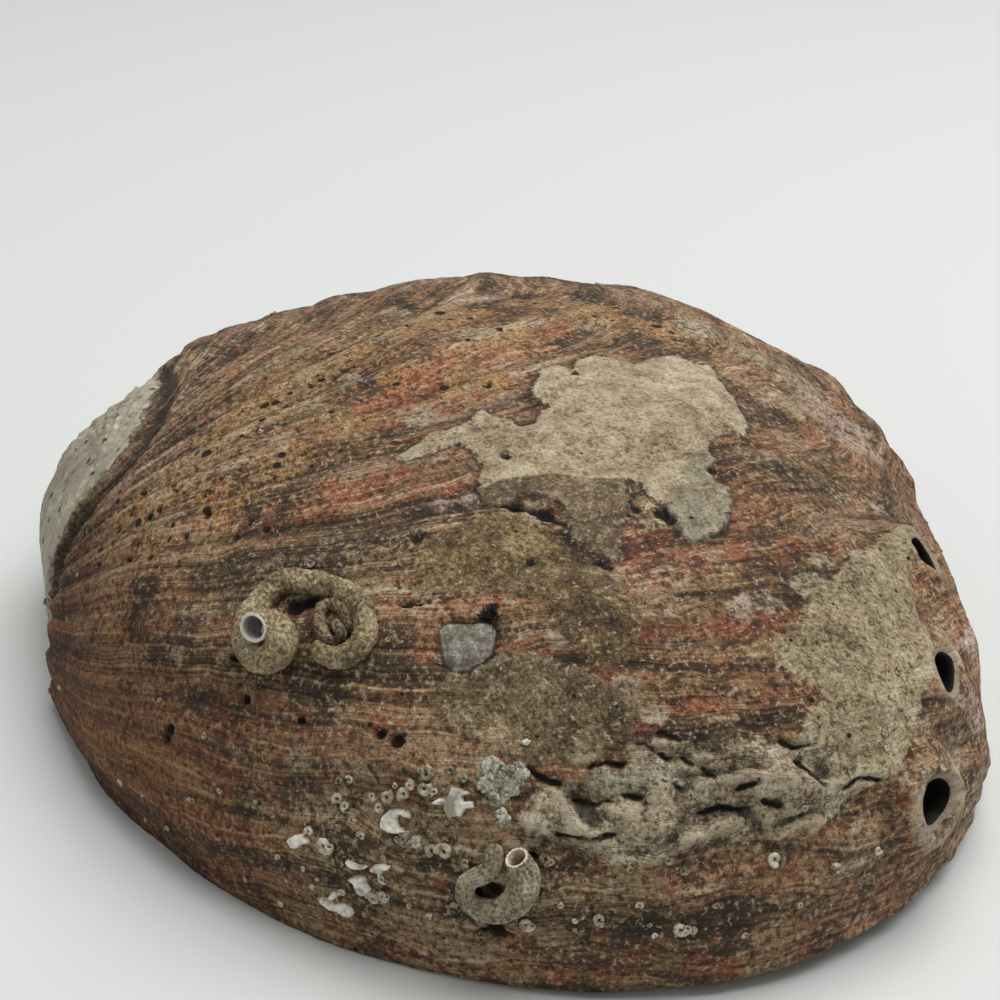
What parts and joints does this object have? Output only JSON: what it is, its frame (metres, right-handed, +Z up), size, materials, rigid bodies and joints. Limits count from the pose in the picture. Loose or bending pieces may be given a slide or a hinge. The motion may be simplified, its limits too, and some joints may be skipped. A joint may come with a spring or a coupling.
{
  "type": "abalone shell",
  "caption": "Abalone shell lying on its opening: a low egg-shaped dome with breathing holes along one side, a worn spire, a hollow underside and coiled worm tubes cemented on top.",
  "frame": {"origin": "middle of the shell's box, on the plane that its rim rests on", "axes": "+Z up out of the outside of the dome, +X towards the front end where the shell grew last, +Y towards the side with the breathing holes"},
  "size_m": [0.1813, 0.1477, 0.0499],
  "materials": {
    "shell_lime": "weathered brick-red and brown lime outside with pale crusts, nacre inside",
    "worm_tube_lime": "chalky tan lime"
  },
  "bodies": {
    "root": {"shell": "shell_lime", "worm_tube_upper": "worm_tube_lime", "worm_tube_front": "worm_tube_lime"}
  },
  "joints": []
}
